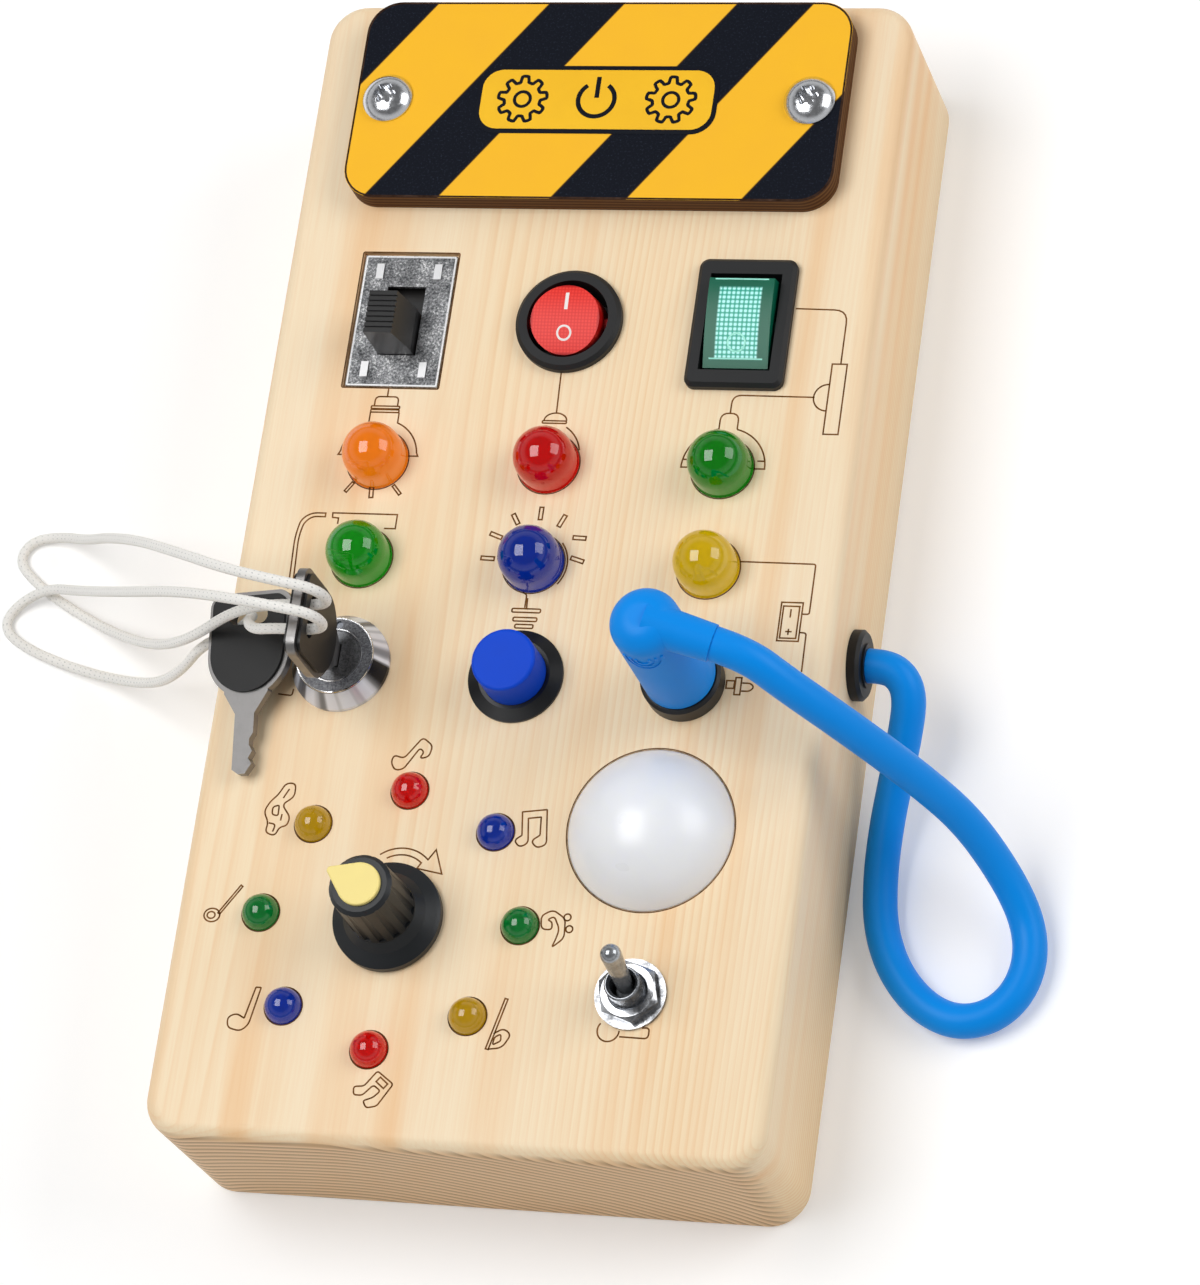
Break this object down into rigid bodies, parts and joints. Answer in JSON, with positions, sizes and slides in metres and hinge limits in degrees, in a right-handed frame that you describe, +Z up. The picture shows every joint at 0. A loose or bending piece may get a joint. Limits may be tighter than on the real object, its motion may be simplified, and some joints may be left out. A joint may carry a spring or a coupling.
{
  "type": "busy board",
  "caption": "Wooden activity board with rocker, slide, toggle, key, push and rotary switches, coloured lamps, a striped plate and a plug on a looped lead.",
  "frame": {"origin": "centre of the flat back face, on the surface the board lies on", "axes": "+X across the board to the side the lead leaves, +Y along it towards the striped plate, +Z up out of the face"},
  "size_m": [0.2354, 0.25, 0.0775],
  "materials": {
    "pine": "sanded, waxed",
    "plywood": "raw plywood",
    "painted_plywood": "satin paint, laser-cut edge",
    "zinc_steel": "zinc-plated",
    "spring_steel": "bright drawn",
    "black_plastic": "moulded, fine spark texture",
    "cell_wrap": "printed shrink sleeve, plain",
    "lens_orange": "clear tinted lens",
    "lens_red": "clear tinted lens",
    "lens_green": "clear tinted lens",
    "lens_blue": "clear tinted lens",
    "lens_yellow": "clear tinted lens",
    "plated_sheet": "nickel-plated sheet",
    "red_plastic": "translucent moulding",
    "green_plastic": "translucent moulding",
    "chromed_zinc": "chromed die casting",
    "lock_metal": "machined zinc",
    "key_metal": "nickel-plated",
    "key_plastic": "moulded",
    "blue_plastic": "moulded",
    "plug_metal": "nickel-plated turned",
    "blue_rubber": "soft moulding",
    "black_rubber": "soft moulding",
    "white_cord": "braided",
    "milky_plastic": "milky moulding",
    "circuit_board": "solder mask",
    "switch_metal": "nickel-plated turned",
    "switch_plastic": "moulded",
    "shaft_metal": "turned",
    "knob_plastic": "moulded",
    "pointer_plastic": "moulded"
  },
  "bodies": {
    "board": {"block": "pine", "back_cover": "plywood", "sign_plate": "painted_plywood", "back_screws": "zinc_steel", "sign_screws": "zinc_steel", "lock_nut": "zinc_steel", "jack_nut": "zinc_steel", "rotary_nut": "zinc_steel", "toggle_nut": "zinc_steel", "toggle_washer": "zinc_steel", "battery_contacts": "zinc_steel", "lamp_leads": "zinc_steel", "switch_terminals": "zinc_steel", "button_spring": "spring_steel", "battery_box": "black_plastic", "battery_door": "black_plastic", "slide_switch_body": "black_plastic", "round_switch_body": "black_plastic", "green_switch_body": "black_plastic", "button_body": "black_plastic", "button_nut": "black_plastic", "jack_socket": "black_plastic", "toggle_body": "black_plastic", "lock_contact_block": "black_plastic", "battery_cells": "cell_wrap", "lamp_orange": "lens_orange", "lamp_red": "lens_red", "ring_lamps_red": "lens_red", "lamp_green_right": "lens_green", "lamp_green_left": "lens_green", "ring_lamps_green": "lens_green", "lamp_blue": "lens_blue", "ring_lamps_blue": "lens_blue", "lamp_yellow": "lens_yellow", "ring_lamps_yellow": "lens_yellow", "slide_switch_plate": "plated_sheet", "lock_barrel": "chromed_zinc", "blue_cable": "blue_rubber", "cable_grommet": "black_rubber", "light_dome": "milky_plastic", "light_board": "circuit_board", "toggle_bushing": "switch_metal", "rotary_switch_body": "switch_plastic"},
    "slider": {"slide_knob": "black_plastic"},
    "red_rocker": {"round_rocker": "red_plastic"},
    "oblong_rocker": {"green_rocker": "green_plastic"},
    "plug_of_lock": {"lock_plug": "lock_metal"},
    "key": {"key_steel": "key_metal", "key_grip": "key_plastic"},
    "key_fob": {"spare_key_steel": "key_metal", "spare_key_grip": "key_plastic", "key_cord_upper": "white_cord", "key_cord_lower": "white_cord"},
    "button": {"button_cap": "blue_plastic"},
    "jack_plug": {"plug_pin": "plug_metal", "plug_boot": "blue_rubber"},
    "toggle": {"toggle_lever": "switch_metal"},
    "knob": {"knob_body": "knob_plastic", "knob_pointer": "pointer_plastic", "rotary_shaft": "shaft_metal"}
  },
  "joints": [
    {"name": "slider_travel", "type": "slide", "parent": "board", "child": "slider", "axis": [0, 1, 0], "range_m": [0, 0.0058]},
    {"name": "red_rocker_tilt", "type": "hinge", "parent": "board", "child": "red_rocker", "pos_m": [0, 0.0514, 0.0394], "axis": [1, 0, 0], "range_deg": [-22, 0]},
    {"name": "oblong_rocker_tilt", "type": "hinge", "parent": "board", "child": "oblong_rocker", "pos_m": [0.0365, 0.0514, 0.0394], "axis": [1, 0, 0], "range_deg": [-22, 0]},
    {"name": "lock_turn", "type": "hinge", "parent": "board", "child": "plug_of_lock", "pos_m": [-0.037, -0.025, 0.04], "axis": [0, 0, 1], "range_deg": [-90, 0], "deforming": ["key_cord_upper", "key_cord_lower"]},
    {"name": "key_insert", "type": "slide", "parent": "plug_of_lock", "child": "key", "axis": [0, 0, 1], "range_m": [0, 0.0135], "deforming": ["key_cord_upper", "key_cord_lower"]},
    {"name": "fob_turn", "type": "hinge", "parent": "key", "child": "key_fob", "pos_m": [-0.037, -0.025, 0.0656], "axis": [0, 0, 1], "range_deg": [0, 90], "deforming": ["key_cord_upper", "key_cord_lower"]},
    {"name": "button_press", "type": "slide", "parent": "board", "child": "button", "axis": [0, 0, -1], "range_m": [0, 0.003], "stiffness_N_per_m": 300, "springref_m": -0.003, "deforming": ["button_spring"]},
    {"name": "plug_insert", "type": "slide", "parent": "board", "child": "jack_plug", "axis": [0, 0, 1], "range_m": [0, 0.0295], "deforming": ["blue_cable"]},
    {"name": "toggle_tilt", "type": "hinge", "parent": "board", "child": "toggle", "pos_m": [0.0331, -0.0913, 0.0422], "axis": [1, 0, 0], "range_deg": [0, 20]},
    {"name": "knob_turn", "type": "hinge", "parent": "board", "child": "knob", "pos_m": [-0.0184, -0.0783, 0.05], "axis": [0, 0, 1], "range_deg": [-300, 0]}
  ],
  "couplings": [
    {"joint": "fob_turn", "follows": "lock_turn", "ratio": -1}
  ]
}
